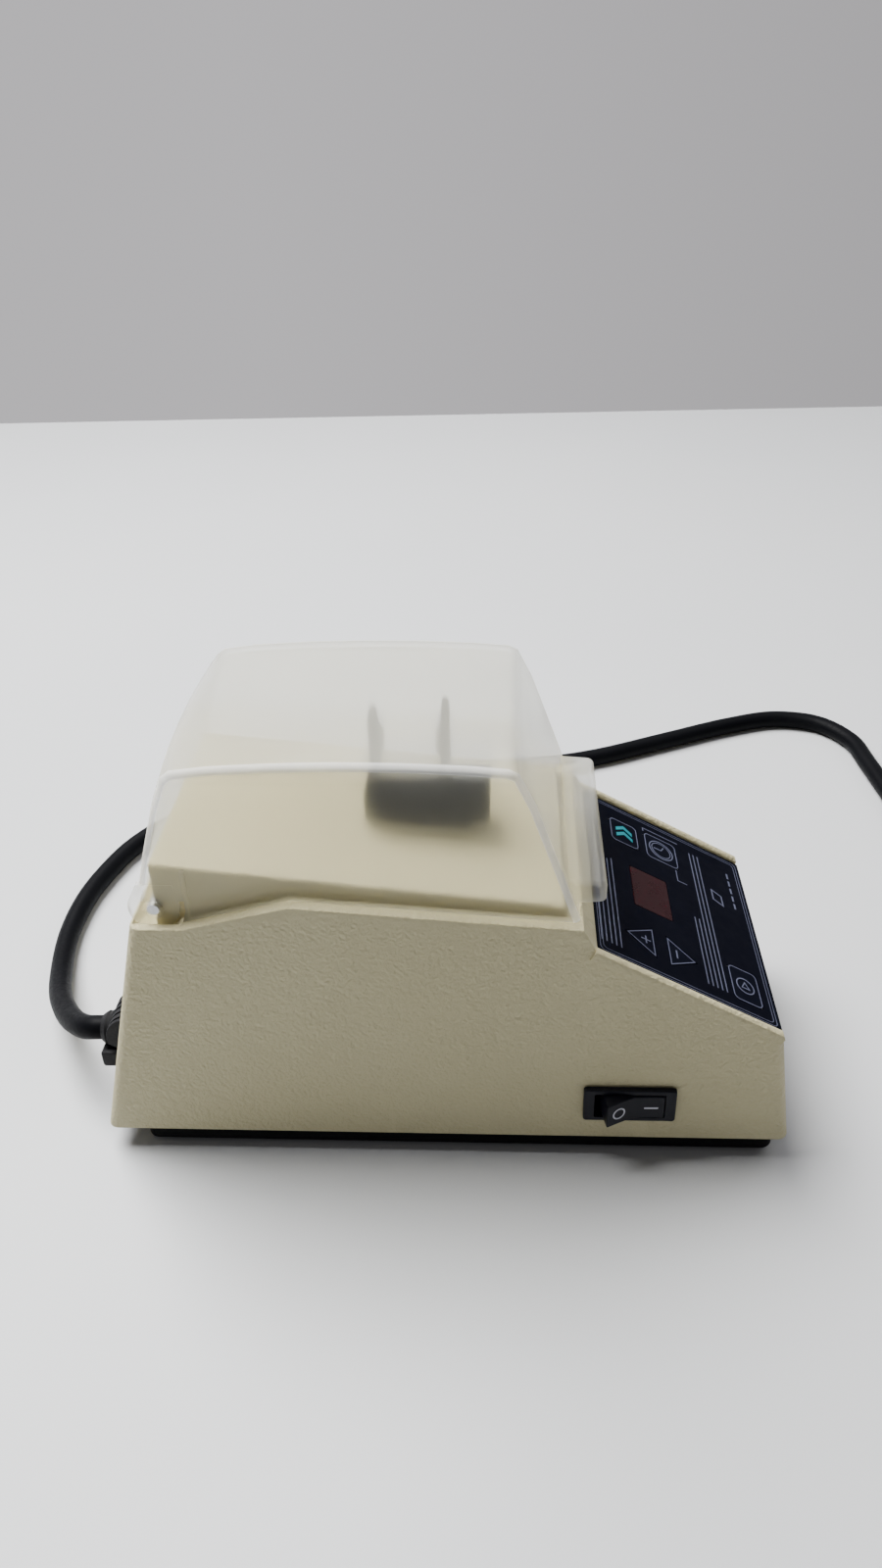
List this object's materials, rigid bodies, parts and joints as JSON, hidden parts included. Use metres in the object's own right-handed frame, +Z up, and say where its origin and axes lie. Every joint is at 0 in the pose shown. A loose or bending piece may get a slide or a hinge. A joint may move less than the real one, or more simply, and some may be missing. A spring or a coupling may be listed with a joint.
{
  "type": "capsule mixer",
  "caption": "Bench capsule mixer: sloped key panel, hinged see-through lid over a shaking fork, rocker switch, motor drive and mains lead",
  "frame": {"origin": "on the table surface, under the middle of the mixer's outline without its lead; the housing's own middle is 3.35 mm to the +X side, because the rocker stands out on the -X side", "axes": "+Z up, the key panel faces -Y, the lid hinge and the mains lead are at +Y, the rocker switch is on the -X side"},
  "size_m": [0.2885, 0.4878, 0.1431],
  "materials": {
    "black_plastic": "moulded, semi-matt",
    "steel": "turned and zinc plated",
    "board_green": "solder-masked glass fibre board",
    "brass": "machined",
    "grey_nylon": "moulded nylon",
    "window_red": "tinted, clear",
    "rubber_dark": "soft, matt",
    "housing_cream": "fine spark-eroded texture",
    "overlay_navy": "embossed polyester film, satin",
    "lead_rubber": "smooth flexible sheath",
    "lid_clear": "translucent, lightly frosted outside",
    "gaiter_beige": "soft, matt",
    "copper_enamel": "enamelled winding under tape"
  },
  "bodies": {
    "housing": {"base_plate": "black_plastic", "base_screw_1": "steel", "base_screw_2": "steel", "base_screw_3": "steel", "base_screw_4": "steel", "control_board": "board_green", "display_module": "grey_nylon", "display_window": "window_red", "foot_front_left": "rubber_dark", "foot_front_right": "rubber_dark", "foot_rear_left": "rubber_dark", "foot_rear_right": "rubber_dark", "hinge_pin_left": "steel", "hinge_pin_right": "steel", "housing_shell": "housing_cream", "key_overlay": "overlay_navy", "lead_coil": "lead_rubber", "lead_tail": "lead_rubber", "lead_tie": "black_plastic", "motor_can": "steel", "motor_cradle": "grey_nylon", "motor_end_cap": "black_plastic", "motor_pad_left": "rubber_dark", "motor_pad_right": "rubber_dark", "plug_body": "lead_rubber", "plug_pin_left": "brass", "plug_pin_right": "brass", "power_lead": "lead_rubber", "slot_seal": "gaiter_beige", "steady_spring": "steel", "strain_relief": "rubber_dark", "switch_body": "black_plastic", "switch_minus": "grey_nylon", "switch_plus": "grey_nylon", "switch_speed": "grey_nylon", "switch_start": "grey_nylon", "switch_terminal_line": "brass", "switch_terminal_load": "brass", "switch_timer": "grey_nylon", "transformer_core": "steel", "transformer_winding": "copper_enamel"},
    "lid": {"lid": "lid_clear"},
    "power_rocker": {"power_rocker": "black_plastic"},
    "fork": {"swing_arm": "grey_nylon", "fork_block": "black_plastic", "fork_tine_front": "black_plastic", "fork_tine_rear": "black_plastic"},
    "rotor": {"motor_shaft": "steel", "slanted_hub": "steel", "counterweight": "brass"},
    "key_plus": {"key_plus": "overlay_navy"},
    "key_minus": {"key_minus": "overlay_navy"},
    "key_start": {"key_start": "overlay_navy"},
    "key_speed": {"key_speed": "overlay_navy"},
    "key_timer": {"key_timer": "overlay_navy"}
  },
  "joints": [
    {"name": "lid_hinge", "type": "hinge", "parent": "housing", "child": "lid", "pos_m": [0.00335, 0.0814, 0.0954], "axis": [-1, 0, 0], "range_deg": [0, 76]},
    {"name": "rocker_tilt", "type": "hinge", "parent": "housing", "child": "power_rocker", "pos_m": [-0.04097, -0.059, 0.02404], "axis": [-0.0297, 0, -0.9996], "range_deg": [0, 28]},
    {"name": "fork_rock", "type": "hinge", "parent": "housing", "child": "fork", "pos_m": [0.00335, 0.003, 0.06], "axis": [1, 0, 0], "range_deg": [-3.5, 3.5], "stiffness_Nm_per_rad": 0.5},
    {"name": "drive_spin", "type": "hinge", "parent": "housing", "child": "rotor", "pos_m": [0.00335, 0.003, 0.06], "axis": [0, 1, 0], "continuous": true},
    {"name": "key_plus_press", "type": "slide", "parent": "housing", "child": "key_plus", "axis": [0, 0.4939, -0.8695], "range_m": [0, 0.0005], "stiffness_N_per_m": 1500, "springref_m": -0.0004},
    {"name": "key_minus_press", "type": "slide", "parent": "housing", "child": "key_minus", "axis": [0, 0.4939, -0.8695], "range_m": [0, 0.0005], "stiffness_N_per_m": 1500, "springref_m": -0.0004},
    {"name": "key_start_press", "type": "slide", "parent": "housing", "child": "key_start", "axis": [0, 0.4939, -0.8695], "range_m": [0, 0.0005], "stiffness_N_per_m": 1500, "springref_m": -0.0004},
    {"name": "key_speed_press", "type": "slide", "parent": "housing", "child": "key_speed", "axis": [0, 0.4939, -0.8695], "range_m": [0, 0.0005], "stiffness_N_per_m": 1500, "springref_m": -0.0004},
    {"name": "key_timer_press", "type": "slide", "parent": "housing", "child": "key_timer", "axis": [0, 0.4939, -0.8695], "range_m": [0, 0.0005], "stiffness_N_per_m": 1500, "springref_m": -0.0004}
  ]
}
